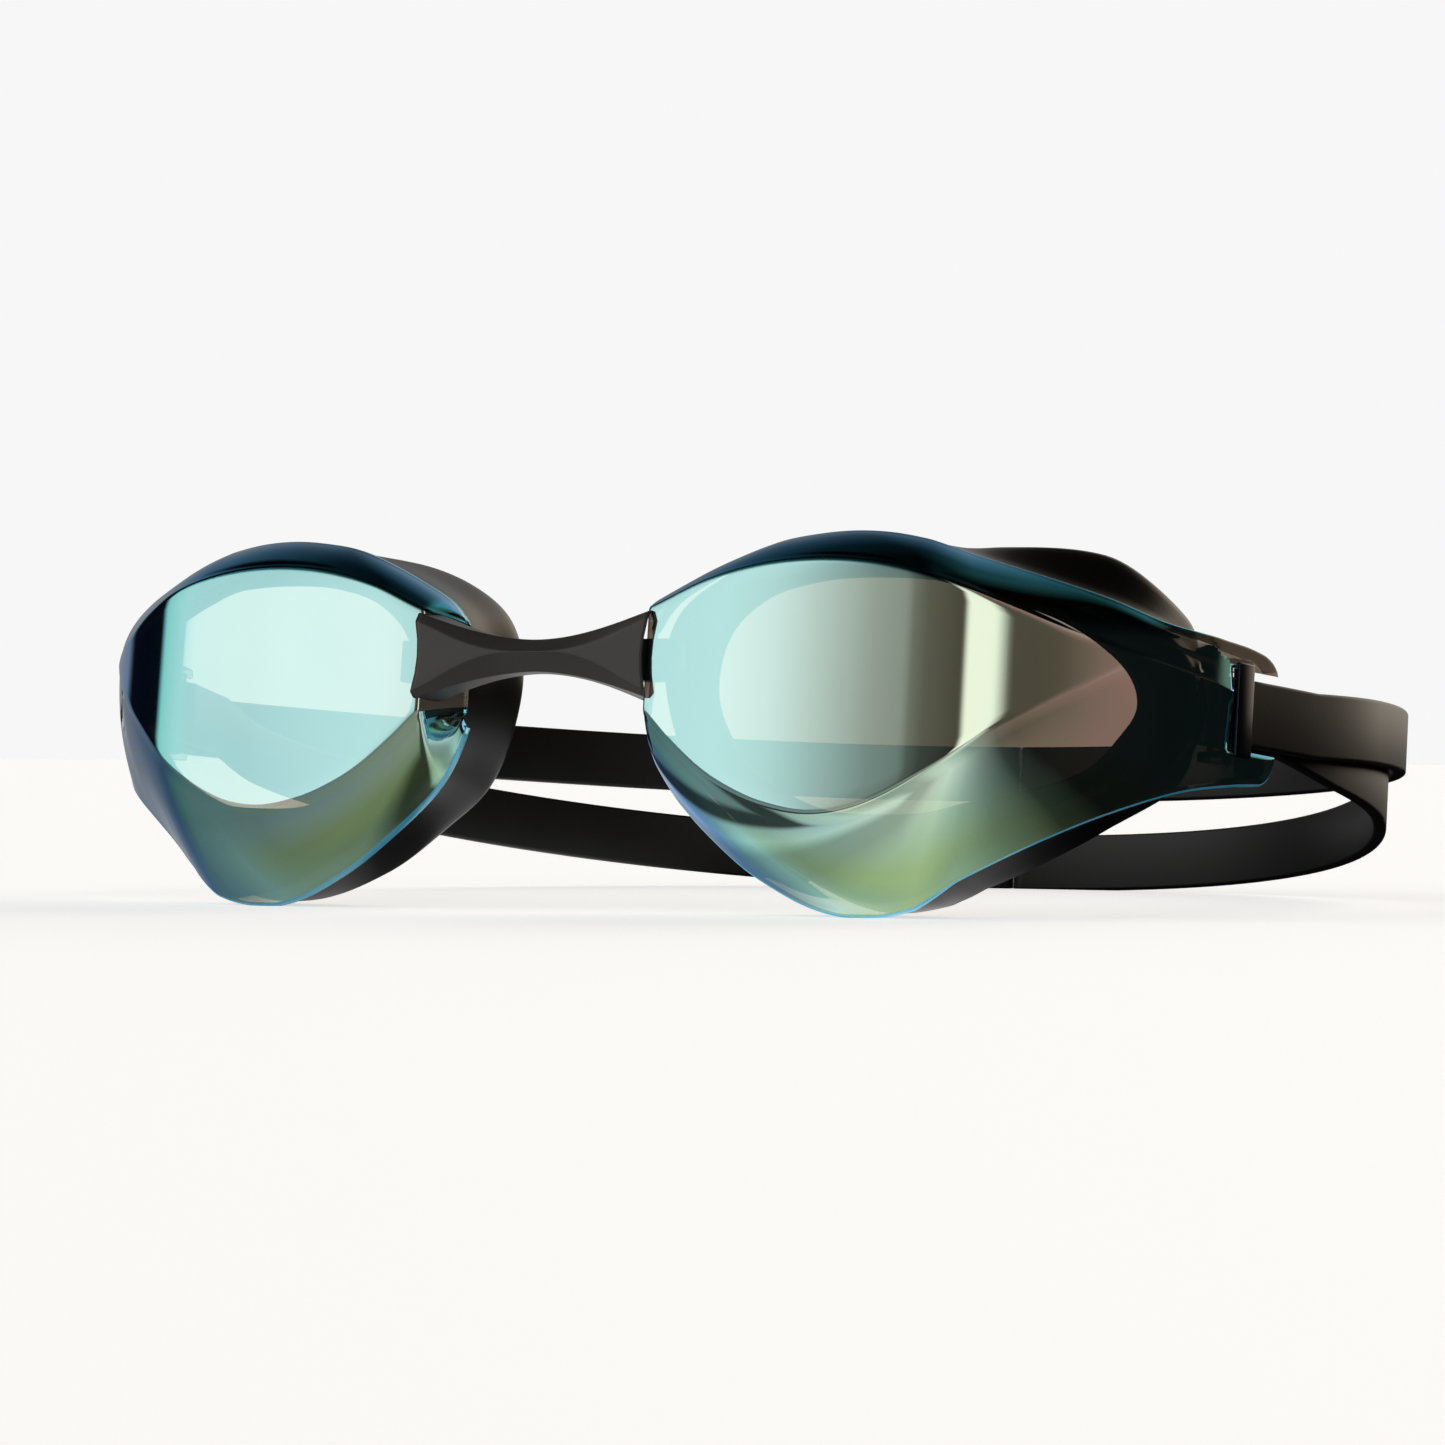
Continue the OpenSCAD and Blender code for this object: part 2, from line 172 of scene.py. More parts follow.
# rows x columns cells, each corner put by place(row, column)
def gridMesh(rows, columns, place, closeRows=False, closeColumns=False, drop=None, slotAt=None):
    mesh = bmesh.new()
    mesh.loops.layers.uv.new("UVMap")
    bmesh.ops.create_grid(mesh, x_segments=columns, y_segments=rows, size=0.5, calc_uvs=True)
    spot = {v: (round((v.co.y + 0.5) * rows), round((v.co.x + 0.5) * columns)) for v in mesh.verts}
    if drop:
        holes = [f for f in mesh.faces if drop(*(sum(spot[v][i] for v in f.verts) / 4
                                                 for i in (0, 1)))]
        bmesh.ops.delete(mesh, geom=holes, context="FACES")
    for f in mesh.faces if slotAt else []:
        f.material_index = slotAt(sum(spot[v][0] for v in f.verts) / 4,
                                  min(spot[v][1] for v in f.verts))
    for v in mesh.verts:
        row, column = spot[v]
        v.co = place(row % rows if closeRows else row, column % columns if closeColumns else column)
    bmesh.ops.remove_doubles(mesh, verts=mesh.verts, dist=0.0005)
    return mesh


def placeMesh(name, mesh, body, materials, side=1, outward=True):
    if side < 0:
        bmesh.ops.transform(mesh, matrix=Matrix.Scale(-1, 4, (1, 0, 0)), verts=mesh.verts)
    if outward:
        bmesh.ops.recalc_face_normals(mesh, faces=mesh.faces)
    elif side < 0:
        bmesh.ops.reverse_faces(mesh, faces=mesh.faces)
    bmesh.ops.transform(mesh, matrix=standing, verts=mesh.verts)
    for v in mesh.verts:
        v.co.z = max(v.co.z, 0)  # small flats where it rests on the floor
    data = bpy.data.meshes.new(name)
    mesh.to_mesh(data)
    mesh.free()
    piece = bpy.data.objects.new(name, data)
    bpy.context.scene.collection.objects.link(piece)
    for m in materials:
        data.materials.append(m)
    for p in data.polygons:
        p.use_smooth = True
    if body:
        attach(piece, body)
    return piece


def linear(hexColour):
    parts = [int(hexColour[i:i + 2], 16) / 255 for i in (1, 3, 5)]
    return [p / 12.92 if p <= 0.04045 else ((p + 0.055) / 1.055) ** 2.4 for p in parts] + [1]


def addNode(material, kind, settings=None, links=None, **inputs):
    node = material.node_tree.nodes.new(kind)
    for key, value in (settings or {}).items():
        setattr(node, key, value)
    for key, value in inputs.items():
        node.inputs[key.replace("_", " ")].default_value = value
    for key, socket in (links or {}).items():
        material.node_tree.links.new(socket, node.inputs[key])
    return node


def newMaterial(name):
    material = bpy.data.materials.new(name)
    material.use_nodes = True
    material.node_tree.nodes.clear()
    return material


def setRamp(node, stops):
    elements = node.color_ramp.elements
    elements.remove(elements[1])
    for i, (place, colour) in enumerate(stops):
        element = elements[0] if i == 0 else elements.new(place)
        element.position = place
        element.color = linear(colour) if isinstance(colour, str) else [*colour, 1]


def finishMaterial(material, shader):
    addNode(material, "ShaderNodeOutputMaterial", links={"Surface": shader})
    return material


mirrorFilm = {
    # tint mirrored from face-on to edge-on: on the face, the lower bevel and the upper bevel, where
    # the two bevel tints are painted light
    "face": [(0.0, "#e1edd4"), (0.05, "#cdebd6"), (0.11, "#bde9e4"), (0.2, "#b4e6e6"),
             (0.32, "#a8e4e4"), (0.46, "#7fcfc8"), (0.6, "#3f86bc"), (0.8, "#3f8fd0"),
             (1.0, "#88b8e8")],
    # painted reflection: a greener, brighter mint tint where the surface faces down
    "under": [(0.0, "#b4cc88"), (0.18, "#b0d49c"), (0.26, "#b4e2bc"), (0.34, "#b0f0e4"),
              (0.5, "#78b4c4"), (0.65, "#4a90cc"), (1.0, "#7fb8e8")],
    # painted shade: a dark tint where the surface faces up
    "over": [(0.0, "#2c6a50"), (0.3, "#2f8a8c"), (0.5, "#1f84a8"), (0.7, "#1a84b8"),
             (1.0, "#4aa8d8")],
    # what it lets through, and how much of the rest it mirrors
    "through": [(0.0, "#8f8b72"), (0.06, "#a8a288"), (0.1, "#dcc8b2"), (0.14, "#ffd0c2"),
                (0.2, "#fff4e4"), (0.3, "#f4ece0"), (0.6, "#b9a294"), (1.0, "#a39a92")],
    "share": [(0.0, 0.82), (0.1, 0.74), (0.16, 0.7), (0.22, 0.6), (0.4, 0.66), (1.0, 0.85)],
    "roughness": 0.05,
}


# polycarbonate with a vacuum-deposited film: mirrors in a tint that shifts with angle, plus painted
# shade facing up and painted reflection facing down
def makeMirrorFilm():
    m = newMaterial("mirrorCoatedPolycarbonate")
    where = addNode(m, "ShaderNodeTexCoord")
    cloud = addNode(m, "ShaderNodeTexNoise", links={"Vector": where.outputs["Object"]},
                    Scale=60, Detail=2)
    angle = addNode(m, "ShaderNodeLayerWeight", Blend=0.5)
    drift = addNode(m, "ShaderNodeMath", {"operation": "MULTIPLY_ADD"},
                    {0: cloud.outputs["Fac"], 2: angle.outputs["Facing"]})
    drift.inputs[1].default_value = 0.02  # film thickness wanders a little across a lens
    tints = [addNode(m, "ShaderNodeValToRGB", links={"Fac": drift.outputs[0]}) for k in range(3)]
    for ramp, name in zip(tints, ("face", "under", "over")):
        setRamp(ramp, mirrorFilm[name])
    # painted shade and painted reflection: blend to the dark tint where the normal points up, to
    # the green tint where it points down
    surface = addNode(m, "ShaderNodeNewGeometry")
    tilt = addNode(m, "ShaderNodeSeparateXYZ", links={0: surface.outputs["Normal"]})
    tint = tints[0].outputs["Color"]
    for ramp, start, end in ((tints[1], -0.2, -0.45), (tints[2], 0.3, 0.5)):
        part = addNode(m, "ShaderNodeMapRange", links={"Value": tilt.outputs["Z"]})
        part.inputs["From Min"].default_value = start
        part.inputs["From Max"].default_value = end
        blend = addNode(m, "ShaderNodeMix", {"data_type": "RGBA"},
                        {0: part.outputs[0], 6: tint, 7: ramp.outputs["Color"]})
        tint = blend.outputs[2]
    film = addNode(m, "ShaderNodeBsdfPrincipled", links={"Base Color": tint},
                   Metallic=1.0, Roughness=mirrorFilm["roughness"])
    passed = addNode(m, "ShaderNodeValToRGB", links={"Fac": drift.outputs[0]})
    setRamp(passed, mirrorFilm["through"])
    through = addNode(m, "ShaderNodeBsdfTransparent", links={"Color": passed.outputs["Color"]})
    mirrored = addNode(m, "ShaderNodeValToRGB", links={"Fac": drift.outputs[0]})
    setRamp(mirrored, [(place, (v, v, v)) for place, v in mirrorFilm["share"]])
    both = addNode(m, "ShaderNodeMixShader", links={0: mirrored.outputs["Color"],
                                                    1: through.outputs[0], 2: film.outputs[0]})
    return finishMaterial(m, both.outputs[0])


# smoked polycarbonate, uncoated inside: mostly seen through, with a sharp gloss
def makeClearWall():
    m = newMaterial("smokedPolycarbonate")
    where = addNode(m, "ShaderNodeTexCoord")
    wisp = addNode(m, "ShaderNodeTexNoise", links={"Vector": where.outputs["Object"]},
                   Scale=90, Detail=3)
    tint = addNode(m, "ShaderNodeValToRGB", links={"Fac": wisp.outputs["Fac"]})
    setRamp(tint, [(0.3, "#ece4dc"), (0.7, "#f0e9e2")])
    through = addNode(m, "ShaderNodeBsdfTransparent", links={"Color": tint.outputs["Color"]})
    gloss = addNode(m, "ShaderNodeBsdfPrincipled", Base_Color=linear("#20282a"), Roughness=0.08,
                    IOR=1.58)
    angle = addNode(m, "ShaderNodeLayerWeight", Blend=0.25)
    both = addNode(m, "ShaderNodeMixShader", links={0: angle.outputs["Fresnel"],
                                                    1: through.outputs[0], 2: gloss.outputs[0]})
    return finishMaterial(m, both.outputs[0])


# the film wraps over the cut rim and turns blue there, with a painted blue glow from its emission
def makeRimFilm():
    m = newMaterial("filmOnRimPaintedGlow")
    where = addNode(m, "ShaderNodeTexCoord")
    wisp = addNode(m, "ShaderNodeTexNoise", links={"Vector": where.outputs["Object"]}, Scale=140)
    tint = addNode(m, "ShaderNodeValToRGB", links={"Fac": wisp.outputs["Fac"]})
    setRamp(tint, [(0.3, "#3fa8d4"), (0.7, "#9fe4e4")])
    # painted glow: the emission makes the rim light itself, though it is no lamp
    film = addNode(m, "ShaderNodeBsdfPrincipled", links={"Base Color": tint.outputs["Color"]},
                   Metallic=0.3, Roughness=0.22, Emission_Color=linear("#3f9fc0"),
                   Emission_Strength=0.25)
    through = addNode(m, "ShaderNodeBsdfTransparent", Color=linear("#9fc4d8"))
    both = addNode(m, "ShaderNodeMixShader", links={1: through.outputs[0], 2: film.outputs[0]})
    both.inputs[0].default_value = 0.8
    return finishMaterial(m, both.outputs[0])


# moulded silicone: soft sheen, a faint moulding grain and slow changes of gloss
def makeSilicone(name, colours, roughness, grain, bump):
    m = newMaterial(name)
    where = addNode(m, "ShaderNodeTexCoord")
    slow = addNode(m, "ShaderNodeTexNoise", links={"Vector": where.outputs["Object"]},
                   Scale=70, Detail=3)
    fine = addNode(m, "ShaderNodeTexNoise", links={"Vector": where.outputs["Object"]},
                   Scale=1000 / grain, Detail=2)
    tint = addNode(m, "ShaderNodeValToRGB", links={"Fac": slow.outputs["Fac"]})
    setRamp(tint, [(0.3, colours[0]), (0.7, colours[1])])
    rough = addNode(m, "ShaderNodeMapRange", links={"Value": slow.outputs["Fac"]})
    rough.inputs["To Min"].default_value = roughness - 0.05
    rough.inputs["To Max"].default_value = roughness + 0.05
    relief = addNode(m, "ShaderNodeBump", links={"Height": fine.outputs["Fac"]},
                     Strength=bump, Distance=0.00003)
    skin = addNode(m, "ShaderNodeBsdfPrincipled",
                   links={"Base Color": tint.outputs["Color"], "Roughness": rough.outputs["Result"],
                          "Normal": relief.outputs["Normal"]}, IOR=1.41)
    return finishMaterial(m, skin.outputs[0])


# polycarbonate of the arm, where no film mirrors: part body colour, part seen through
def makeArmPlastic(name, colours, clear, body):
    m = newMaterial(name)
    where = addNode(m, "ShaderNodeTexCoord")
    cloud = addNode(m, "ShaderNodeTexNoise", links={"Vector": where.outputs["Object"]},
                    Scale=120, Detail=2)
    tint = addNode(m, "ShaderNodeValToRGB", links={"Fac": cloud.outputs["Fac"]})
    setRamp(tint, [(0.3, colours[0]), (0.7, colours[1])])
    solid = addNode(m, "ShaderNodeBsdfPrincipled", links={"Base Color": tint.outputs["Color"]},
                    Roughness=0.2, IOR=1.58)
    through = addNode(m, "ShaderNodeBsdfTransparent", Color=linear(clear))
    both = addNode(m, "ShaderNodeMixShader", links={1: through.outputs[0], 2: solid.outputs[0]})
    both.inputs[0].default_value = body
    return finishMaterial(m, both.outputs[0])


mirrorCoat = makeMirrorFilm()
smokedArm = makeArmPlastic("uncoatedSmokedPolycarbonate", ("#8f877a", "#a69c8e"), "#c8bcae", 0.42)
# front bar: a blue tint, darkened to near black as painted dark reflection of its coat
barPaintedDarkReflection = makeArmPlastic("blueBarPaintedDarkReflection", ("#04060e", "#080c1c"), "#30405c", 0.92)
clearWall = makeClearWall()
rimFilmPaintedGlow = makeRimFilm()
sealSilicone = makeSilicone("glossBlackSilicone", ("#060606", "#0b0b0a"), 0.3, 0.4, 0.15)
bridgeSilicone = makeSilicone("satinGreyElastomer", ("#3e3b39", "#474441"), 0.32, 0.3, 0.2)
strapSilicone = makeSilicone("satinBlackSilicone", ("#141312", "#1a1817"), 0.42, 0.35, 0.25)
for node, coat in {"lens": mirrorCoat, "seal": sealSilicone, "strap_loop": strapSilicone,
                   "upper_band": strapSilicone, "lower_band": strapSilicone,
                   "nose_bridge": bridgeSilicone}.items():
    for name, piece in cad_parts.items():
        if name.startswith(node):
            piece.data.materials.clear()
            piece.data.materials.append(coat)
print("materials made")


# points along a line of flats with rounded corners; a flat's middle point can be shifted
def bentLine(corners, bow, trims, steps, middles):
    points = []
    for i in range(len(corners) - 1):
        a, b = corners[i], corners[i + 1]
        run = b - a
        length = max(run.length, 1e-6)
        start = a + run * (min(trims[i], 0.45 * length) / length)
        stop = b - run * (min(trims[i + 1], 0.45 * length) / length)
        inward = Vector((-run.y, run.x)) / length
        for k in range(steps[i] + 1):
            t = k / steps[i]
            if middles.get(i) is not None:
                m = middles[i](start, stop)
                t = 2 * t * m if t <= 0.5 else m + (2 * t - 1) * (1 - m)
            points.append(start.lerp(stop, t) + inward * (bow[i] * 4 * t * (1 - t)))
        if i < len(corners) - 2:
            away = corners[i + 2] - b
            far = b + away.normalized() * min(trims[i + 1], 0.45 * max(away.length, 1e-6))
            for t in (0.25, 0.5, 0.75):
                points.append(stop * (1 - t) ** 2 + b * (2 * t * (1 - t)) + far * t * t)
    return points


def lensSection(s):
    top, low = lens["windowZ"][1], lens["windowZ"][0]
    upper, lower = curveAt(lens["upperRim"], s), curveAt(lens["lowerRim"], s)
    if s > lens["tipStart"]:
        t = min((s - lens["tipStart"]) / (lens["armEnd"] - lens["tipStart"]), 1) * 0.96
        upper = top + (upper - top) * math.sqrt(1 - t * t)
        lower = low + (lower - low) * math.sqrt(1 - t * t)
    ridgeTop = curveAt(lens["upperRidge"], s)
    ridgeLow = min(curveAt(lens["lowerRidge"], s), ridgeTop - 0.1)
    front = -2 * s if s < 0 else 0
    corners = [Vector(c) for c in (
        (topDepth(s) + rimDepth(s), upper), (topDepth(s), upper), (front, ridgeTop),
        (front, ridgeLow), (lowDepth(s), lower), (lowDepth(s) + rimDepth(s), lower))]
    arm = ease(share(50, 59, s))

    def splitAt(z):
        return lambda a, b: mix(0.5, min(max((z - a.y) / (b.y - a.y), 0.1), 0.9), arm)

    hollow = [b * (1 - arm) for b in lens["bow"]]
    return bentLine(corners, hollow, lens["cornerTrim"], lens["steps"],
                    {1: splitAt(top), 3: splitAt(low)})


def lensStations():
    stations = [-2.6 + 2.6 * k / 8 for k in range(8)]
    stations += [58.0 * k / 116 for k in range(116)]
    stations += [58.0 + (lens["windowStart"] - 58.0) * k / 7 for k in range(7)]
    stations += [mix(lens["windowStart"], lens["tipStart"], k / 7) for k in range(7)]
    return stations + [mix(lens["tipStart"], lens["armEnd"], math.sin(k / 9 * math.pi / 2))
                       for k in range(10)]


stations = lensStations()
sections = [lensSection(s) for s in stations]
lineCount = len(sections[0])
windowFirst = stations.index(lens["windowStart"])
topLine = lens["steps"][0] + 1 + 3 + lens["steps"][1] // 2
lowLine = sum(lens["steps"][:3]) + 3 + 9 + lens["steps"][3] // 2


def lensCorner(row, column):
    d, z = sections[column][row]
    return facePoint(stations[column], d, z)


def inWindow(row, column):
    return column > windowFirst and topLine < row < lowLine


# film on the face and bevels, its blue edge on the rims, bare plastic on prong and nose end
def lensSlot(row, column):
    rim = lens["steps"][0]
    edge = mix(56.8, 61.4, min(row / topLine, 1) ** 1.6)
    noseEnd = stations[column] < -0.3 and abs(row - lineCount / 2) < lens["steps"][2] / 2 + 2
    if noseEnd or (row < topLine and stations[column] > edge):
        return 3
    return 0 if rim + 2 < row < lineCount - 1 - rim - 4 else 2


def roundedBox(low, high, radius, frameAt):
    mesh = bmesh.new()
    bmesh.ops.create_cube(mesh, size=1)
    for v in mesh.verts:
        v.co = Vector([mix(low[i], high[i], v.co[i] + 0.5) for i in range(3)])
    bmesh.ops.bevel(mesh, geom=mesh.edges[:], offset=radius, segments=3, profile=0.5,
                    affect="EDGES", material=-1)
    bmesh.ops.transform(mesh, matrix=frameAt, verts=mesh.verts)
    return mesh


armAt = planAt(60)
armFrame = (Matrix.Translation((armAt[0], armAt[1], 0))
            @ Matrix.Rotation(math.radians(lens["armHeading"]), 4, "Z"))


def addSolid(name, mesh, thickness, body, materials, side):
    piece = placeMesh(name, mesh, body, materials, side, outward=False)
    wall = piece.modifiers.new("wall", "SOLIDIFY")
    wall.thickness = thickness * 0.001
    wall.offset = -1
    wall.use_even_offset = True
    wall.thickness_clamp = 1.0
    wall.material_offset = 1
    wall.material_offset_rim = 2
    return piece


def makeLens(side, word, body):
    mesh = gridMesh(lineCount - 1, len(stations) - 1, lensCorner, drop=inWindow, slotAt=lensSlot)
    bmesh.ops.reverse_faces(mesh, faces=mesh.faces)  # the film side faces out
    shell = addSolid("lens_shell_" + word, mesh, lens["wall"], body,
                     [mirrorCoat, clearWall, rimFilmPaintedGlow, smokedArm], side)
    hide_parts("lens_" + word)
    low, top = lens["windowZ"]
    half = clasp["barWidth"] / 2
    bar = roundedBox((clasp["barS"] - 60 - half, 0.02, low - 0.6),
                     (clasp["barS"] - 60 + half, clasp["barThickness"], top + 0.6),
                     clasp["round"], armFrame)
    bar = placeMesh("front_bar_" + word, bar, body, [barPaintedDarkReflection], side)
    post = bmesh.new()
    bmesh.ops.create_cone(post, cap_ends=True, segments=40, radius1=clasp["pinRadius"],
                          radius2=clasp["pinRadius"], depth=top - low + 0.8)
    bmesh.ops.translate(post, vec=(pin.x, pin.y, (top + low) / 2), verts=post.verts)
    post = placeMesh("strap_pin_" + word, post, body, [clearWall], side)
    for label, z in (("low", low - clasp["earHeight"]), ("top", top)):
        half = clasp["pinRadius"] + 0.6
        ear = roundedBox((clasp["pinS"] - 60 - half, 0.6, z),
                         (clasp["pinS"] - 60 + half, clasp["pinD"] + clasp["pinRadius"] + 0.3,
                          z + clasp["earHeight"]), 0.25, armFrame)
        ear = placeMesh(f"pin_ear_{label}_{word}", ear, body, [clearWall], side)


seal = {
    "outline": [(-1.7, 5.4), (-0.6, 11), (4, 14.6), (11, 17.2), (19, 18.3), (28, 17.4), (38, 15.4),
                (48, 13), (56, 9.8), (59.4, 4.4), (55.5, -1.6), (46, -6.6), (37, -11),
                (29, -14.2), (21, -15.6), (12.5, -12.2), (6, -7.4), (1, -2.6)],
    "opening": [(4, 4.5), (5.2, 9.5), (9, 12.8), (14, 14.3), (19, 14.8), (26, 14.6), (34, 13.4),
                (43, 11), (49, 7.6), (51.3, 4), (50, 0.8), (46.5, -2.6), (39.5, -4.9),
                (30, -7), (23, -7.7), (16, -7.2), (9.5, -4.2), (5.5, 0)],
    "noseDepth": 9.6, "templeDepth": 6, "endDepth": 1.7, "noseFlare": 1.4, "templeFlare": 4.2,
    "gap": 0.13, "turn": 12, "lowerShare": 0.35, "endShare": 0.5, "rings": 240, "around": 56,
}


def sealPoint(row, column):
    t = row * len(seal["outline"]) / seal["rings"]
    p, q = loopAt(seal["outline"], t), loopAt(seal["outline"], t + 0.02)
    run = (q - p).normalized()
    out = Vector((-run.y, run.x))
    s = p.x
    turn = math.radians(seal["turn"] * ease(share(20, 60, s)))
    upper = ease(share(-6, 10, p.y))
    depth = mix(seal["noseDepth"], seal["templeDepth"], ease(share(10, 50, s)))
    depth = mix(seal["endDepth"], depth, ease(share(59.8, 53, s))) * (1 - 0.1 * upper)
    lip = (seal["templeFlare"] * ease(share(20, 46, s)) * mix(seal["lowerShare"], 1, upper)
           * ease(share(2.2, 6.2, abs(p.y - strap["pinZ"])))
           * (1 - seal["endShare"] * ease(share(44, 57, s)))
           + seal["noseFlare"] * (1 - ease(share(2, 26, s))))
    hole = loopAt(seal["opening"], t)
    # outward, back from the rim, share of the way to the eye opening
    profile = [(-0.3, 0, 0), (0.2, 0.9, 0), (0.6, depth * 0.5, 0), (lip, depth - 0.5, 0),
               (lip - 0.5, depth, 0), (lip - 1.5, depth - 0.5, 0), (-1.2, depth * 0.6, 0),
               (-1.9, 1.8, 0.1), (-0.3, 1.2, 0.95), (0, 0.6, 1), (-0.2, 0, 0.95),
               (-1.8, 0.62, 0.03), (-1.7, 0.06, 0), (-1.3, 0, 0)]
    o, back, toHole = loopAt(profile, column * len(profile) / seal["around"])
    spot = (p + out * o).lerp(hole, toHole)
    start = mix(lowDepth(spot.x), topDepth(spot.x), upper) + rimDepth(spot.x) + seal["gap"]
    return facePoint(spot.x, start, spot.y) + back * Vector((-math.sin(turn), math.cos(turn), 0))


def makeSeal(side, word, body):
    mesh = gridMesh(seal["rings"], seal["around"], sealPoint, closeRows=True, closeColumns=True)
    piece = placeMesh("eye_seal_" + word, mesh, body, [sealSilicone], side)
    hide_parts("seal_" + word)


for side, word in ((1, "right"), (-1, "left")):
    makeLens(side, word, word + "_eye")
    makeSeal(side, word, word + "_eye")
print("lenses and seals made")


bridge = {"endHeight": 8.3, "waistHeight": 3.1, "depth": 3.4, "front": -0.9, "middle": 6.65,
          "reach": 0.75, "slant": 0.16, "hollow": 0.7, "trim": 0.16, "along": 72, "capRows": 6,
          "tongue": (3.0, 1.6, 4.0), "tongueY": 1, "tongueZ": 6.3}


# section at a share u of the half length: chamfer, facet that widens to the ends, chamfer
def bridgeLine(u):
    w = abs(u) ** 1.8
    half = mix(bridge["waistHeight"], bridge["endHeight"], w) / 2
    front, back, c = bridge["front"], bridge["front"] + bridge["depth"], bridge["middle"]
    fan = ease(share(0.12, 1.0, abs(u)))
    chamfer = mix(1.25, 0.5, fan)
    ridge = 0.12 * half
    upper = mix(ridge + 0.06, half * 0.78, fan)
    lower = mix(ridge - 0.06, -half * 0.86, fan)
    return [Vector(p) for p in (
        (back - 0.3, c + half), (front + chamfer, c + half), (front, c + upper),
        (front, c + lower), (front + chamfer, c - half), (back - 0.3, c - half),
        (back, c - half + 0.4), (back, c + half - 0.4), (back - 0.3, c + half))]


def bridgePoint(row, column):
    rows = bridge["capRows"]
    u = min(max(2 * (row - rows) / (bridge["along"] - 2 * rows) - 1, -1), 1)
    line = bentLine(bridgeLine(u), [0] * 8, [bridge["trim"]] * 9, [4] * 8, {})
    y, z = line[column % len(line)]
    cap = max(rows - row, row - (bridge["along"] - rows), 0) / rows
    c = Vector((bridge["front"] + bridge["depth"] / 2, bridge["middle"]))
    y, z = mix(y, c.x, cap), mix(z, c.y, cap)
    half = bridge["endHeight"] / 2
    dish = bridge["hollow"] * (1 - min(abs(z - bridge["middle"]) / half, 1) ** 2)
    slant = bridge["slant"] * (y - bridge["front"]) / bridge["depth"]
    reach = (lens["noseX"] + bridge["reach"]) * (1 - slant)
    return Vector((u * (reach - dish * abs(u) ** 3), y, z))


lineLength = len(bentLine(bridgeLine(0), [0] * 8, [bridge["trim"]] * 9, [4] * 8, {}))
noseBridge = gridMesh(bridge["along"], lineLength, bridgePoint, closeColumns=True)
noseBridge = placeMesh("nose_bow", noseBridge, None, [bridgeSilicone])
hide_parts("nose_bridge")
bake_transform(noseBridge)
for side, word in ((1, "right"), (-1, "left")):
    length, thick, tall = bridge["tongue"]
    y, z = bridge["tongueY"], bridge["tongueZ"]
    tongue = roundedBox((lens["noseX"] - 2.4, y, z - tall / 2),
                        (lens["noseX"] + length, y + thick, z + tall / 2), 0.2, Matrix())
    tongue = placeMesh("bridge_tongue_" + word, tongue, word + "_eye", [bridgeSilicone], side)
print("bridge made")


seamHeading = 180 - math.degrees(math.asin(strap["seamGap"] / 2 / strap["radius"]))


def alongBand(h):
    return max(0, share(strap["kneeHeading"], seamHeading, h))


def strapPoint(h, r, z):
    a = math.radians(h)
    return Vector((r * math.sin(a), strap["centreY"] - r * math.cos(a), z))


# middle of a band's section at heading h: radius and height
def bandMiddle(h, upper):
    loopIn = clasp["pinRadius"] + strap["loopGap"]
    w = alongBand(h)
    if upper:
        r = mix(pinRadius + loopIn, strap["radius"] - 0.3, ease(share(pinHeading, 94, h))) + 0.3 * w
        z = strap["pinZ"] + strap["upperRise"] * (1 - (1 - w) ** 2.5)
    else:
        r = mix(pinRadius - loopIn - strap["bandThickness"], strap["radius"] - 2,
                ease(share(pinHeading, 106, h))) + 1.6 * ease(share(100, 180, h))
        z = (strap["pinZ"] - strap["lowerStart"] * ease(share(strap["kneeHeading"] - 1, 93, h))
             - strap["lowerDrop"] * (1 - (1 - w) ** 2.2))
    return r + strap["bandThickness"] / 2, z


# rounded rectangle as (across, up) pairs from the middle
def bandOutline():
    x, y, r = strap["bandThickness"] / 2, strap["bandHeight"] / 2, strap["corner"]
    points = []
    for cx, cy, first in ((x - r, y - r, 0), (-x + r, y - r, 90), (-x + r, -y + r, 180),
                          (x - r, -y + r, 270)):
        for k in range(5):
            a = math.radians(first + 22.5 * k)
            points.append((cx + r * math.cos(a), cy + r * math.sin(a)))
    return points


outline = bandOutline()
loopSteps = 14


def bandPoint(upper):
    reach = clasp["pinRadius"] + strap["loopGap"] + strap["bandThickness"] / 2

    def place(row, column):
        across, up = outline[column]
        if row < loopSteps:  # quarter turn round the pin, from its front
            turn = 90 - 90 * row / loopSteps
            turn = pinHeading - turn if upper else pinHeading - 180 + turn
            a = math.radians(turn)
            r = reach + across
            return Vector((pin.x + r * math.sin(a), pin.y - r * math.cos(a), strap["pinZ"] + up))
        t = (row - loopSteps) / (strap["along"] - loopSteps)
        h = mix(pinHeading, seamHeading, t ** 1.25)
        r, z = bandMiddle(h, upper)
        return strapPoint(h, r + (across if upper else -across), z + up)

    return place


def makeBand(side, word, upper):
    label = "upper" if upper else "lower"
    mesh = gridMesh(strap["along"], len(outline), bandPoint(upper), closeColumns=True)
    bmesh.ops.holes_fill(mesh, edges=[e for e in mesh.edges if e.is_boundary], sides=0)
    band = placeMesh(f"strap_{label}_{word}", mesh, None, [strapSilicone], side)
    nodes = [f"{label}_band_{word}"] + ([f"strap_loop_{word}"] if upper else [])
    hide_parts(*nodes)
    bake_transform(band)


for side, word in ((1, "right"), (-1, "left")):
    for upper in (True, False):
        makeBand(side, word, upper)
print("strap made")

